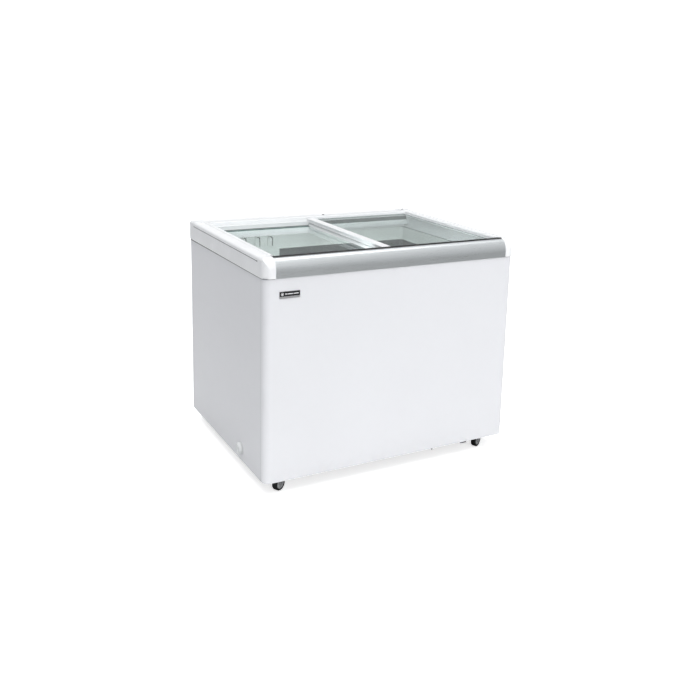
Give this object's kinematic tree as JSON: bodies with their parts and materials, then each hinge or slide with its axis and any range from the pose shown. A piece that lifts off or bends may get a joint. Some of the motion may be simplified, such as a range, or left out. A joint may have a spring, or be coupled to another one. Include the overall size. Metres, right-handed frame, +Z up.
{
  "type": "chest freezer",
  "caption": "Glass-top chest freezer: white insulated cabinet on swivel castors, sliding flat glass lids in a raked frame, drain knob, thermostat dial and compressor unit.",
  "frame": {"origin": "on the floor, under the centre of the overall box, which is the cabinet's centre", "axes": "+X along the front from left to right, +Y from the front to the back, +Z up"},
  "size_m": [1.064, 0.7963, 0.8497],
  "materials": {
    "white_sheet": "gloss",
    "base_sheet": "satin",
    "foam": "matte",
    "liner_sheet": "satin",
    "light_plastic": "satin",
    "rail_aluminium": "satin",
    "black_plastic": "satin",
    "white_plastic": "gloss",
    "screw_steel": "satin",
    "badge_silver": "satin",
    "badge_black": "gloss",
    "lid_glass": "gloss",
    "seal_grey": "satin",
    "black_rubber": "matte",
    "black_paint": "satin",
    "fin_aluminium": "satin",
    "copper_tube": "satin",
    "fan_plastic": "satin",
    "zinc_steel": "satin",
    "hub_grey": "satin",
    "tyre_black": "matte"
  },
  "bodies": {
    "cabinet": {"front_panel": "white_sheet", "left_side_panel": "white_sheet", "right_side_panel": "white_sheet", "back_panel": "white_sheet", "base_panel": "base_sheet", "insulation_foam": "foam", "inner_liner": "liner_sheet", "liner_collar": "light_plastic", "air_cover": "light_plastic", "front_rail": "rail_aluminium", "front_track": "black_plastic", "rear_rail": "white_plastic", "left_rail": "white_plastic", "right_rail": "white_plastic", "front_left_corner_cap": "white_plastic", "front_right_corner_cap": "white_plastic", "rear_left_corner_cap": "white_plastic", "rear_right_corner_cap": "white_plastic", "rail_screws": "screw_steel", "badge_trim": "badge_silver", "badge_plate": "badge_black", "drain_bushing": "white_plastic", "compressor_tray": "base_sheet", "compressor_mounts": "black_rubber", "compressor": "black_paint", "condenser": "fin_aluminium", "fan_bracket": "black_paint", "evaporator_coil": "fin_aluminium", "refrigerant_lines": "copper_tube", "side_grille": "black_plastic", "rear_cover": "zinc_steel", "power_inlet": "black_plastic", "thermostat_body": "black_plastic", "skirt_clips": "screw_steel", "front_left_castor_plate": "zinc_steel", "front_right_castor_plate": "zinc_steel", "rear_left_castor_plate": "zinc_steel", "rear_right_castor_plate": "zinc_steel"},
    "left_lid": {"left_lid_glass": "lid_glass", "left_lid_handle": "white_plastic", "left_lid_seal": "seal_grey"},
    "right_lid": {"right_lid_glass": "lid_glass", "right_lid_handle": "white_plastic", "right_lid_seal": "seal_grey"},
    "drain_pull": {"drain_slider": "white_plastic"},
    "drain_handle": {"drain_knob": "white_plastic"},
    "thermostat_dial": {"thermostat_knob": "black_plastic"},
    "fan": {"fan_blade": "fan_plastic"},
    "front_left_swivel": {"front_left_castor_fork": "zinc_steel"},
    "front_left_wheel": {"front_left_castor_hub": "hub_grey", "front_left_castor_tyre": "tyre_black"},
    "front_right_swivel": {"front_right_castor_fork": "zinc_steel"},
    "front_right_wheel": {"front_right_castor_hub": "hub_grey", "front_right_castor_tyre": "tyre_black"},
    "rear_left_swivel": {"rear_left_castor_fork": "zinc_steel"},
    "rear_left_wheel": {"rear_left_castor_hub": "hub_grey", "rear_left_castor_tyre": "tyre_black"},
    "rear_right_swivel": {"rear_right_castor_fork": "zinc_steel"},
    "rear_right_wheel": {"rear_right_castor_hub": "hub_grey", "rear_right_castor_tyre": "tyre_black"}
  },
  "joints": [
    {"name": "left_lid_slide", "type": "slide", "parent": "cabinet", "child": "left_lid", "axis": [1, 0, 0], "range_m": [0, 0.425]},
    {"name": "right_lid_slide", "type": "slide", "parent": "cabinet", "child": "right_lid", "axis": [-1, 0, 0], "range_m": [0, 0.42]},
    {"name": "drain_pull_out", "type": "slide", "parent": "cabinet", "child": "drain_pull", "axis": [-1, 0, 0], "range_m": [0, 0.025]},
    {"name": "drain_knob_turn", "type": "hinge", "parent": "drain_pull", "child": "drain_handle", "pos_m": [-0.52, -0.182, 0.102], "axis": [-1, 0, 0], "range_deg": [0, 180]},
    {"name": "thermostat_turn", "type": "hinge", "parent": "cabinet", "child": "thermostat_dial", "pos_m": [0.52, 0.056, 0.2], "axis": [1, 0, 0], "range_deg": [0, 270]},
    {"name": "fan_spin", "type": "hinge", "parent": "cabinet", "child": "fan", "pos_m": [0.38, -0.1705, 0.196], "axis": [0, 1, 0], "continuous": true},
    {"name": "front_left_swivel_turn", "type": "hinge", "parent": "cabinet", "child": "front_left_swivel", "pos_m": [-0.426, -0.345, 0.06], "axis": [0, 0, 1], "continuous": true},
    {"name": "front_left_wheel_spin", "type": "hinge", "parent": "front_left_swivel", "child": "front_left_wheel", "pos_m": [-0.43669, -0.35045, 0.025], "axis": [-0.454, 0.891, 0], "continuous": true},
    {"name": "front_right_swivel_turn", "type": "hinge", "parent": "cabinet", "child": "front_right_swivel", "pos_m": [0.426, -0.345, 0.06], "axis": [0, 0, 1], "continuous": true},
    {"name": "front_right_wheel_spin", "type": "hinge", "parent": "front_right_swivel", "child": "front_right_wheel", "pos_m": [0.41531, -0.35045, 0.025], "axis": [-0.454, 0.891, 0], "continuous": true},
    {"name": "rear_left_swivel_turn", "type": "hinge", "parent": "cabinet", "child": "rear_left_swivel", "pos_m": [-0.426, 0.345, 0.06], "axis": [0, 0, 1], "continuous": true},
    {"name": "rear_left_wheel_spin", "type": "hinge", "parent": "rear_left_swivel", "child": "rear_left_wheel", "pos_m": [-0.43583, 0.35188, 0.025], "axis": [0.5736, 0.8192, 0], "continuous": true},
    {"name": "rear_right_swivel_turn", "type": "hinge", "parent": "cabinet", "child": "rear_right_swivel", "pos_m": [0.426, 0.345, 0.06], "axis": [0, 0, 1], "continuous": true},
    {"name": "rear_right_wheel_spin", "type": "hinge", "parent": "rear_right_swivel", "child": "rear_right_wheel", "pos_m": [0.41426, 0.34251, 0.025], "axis": [-0.2079, 0.9781, 0], "continuous": true}
  ]
}
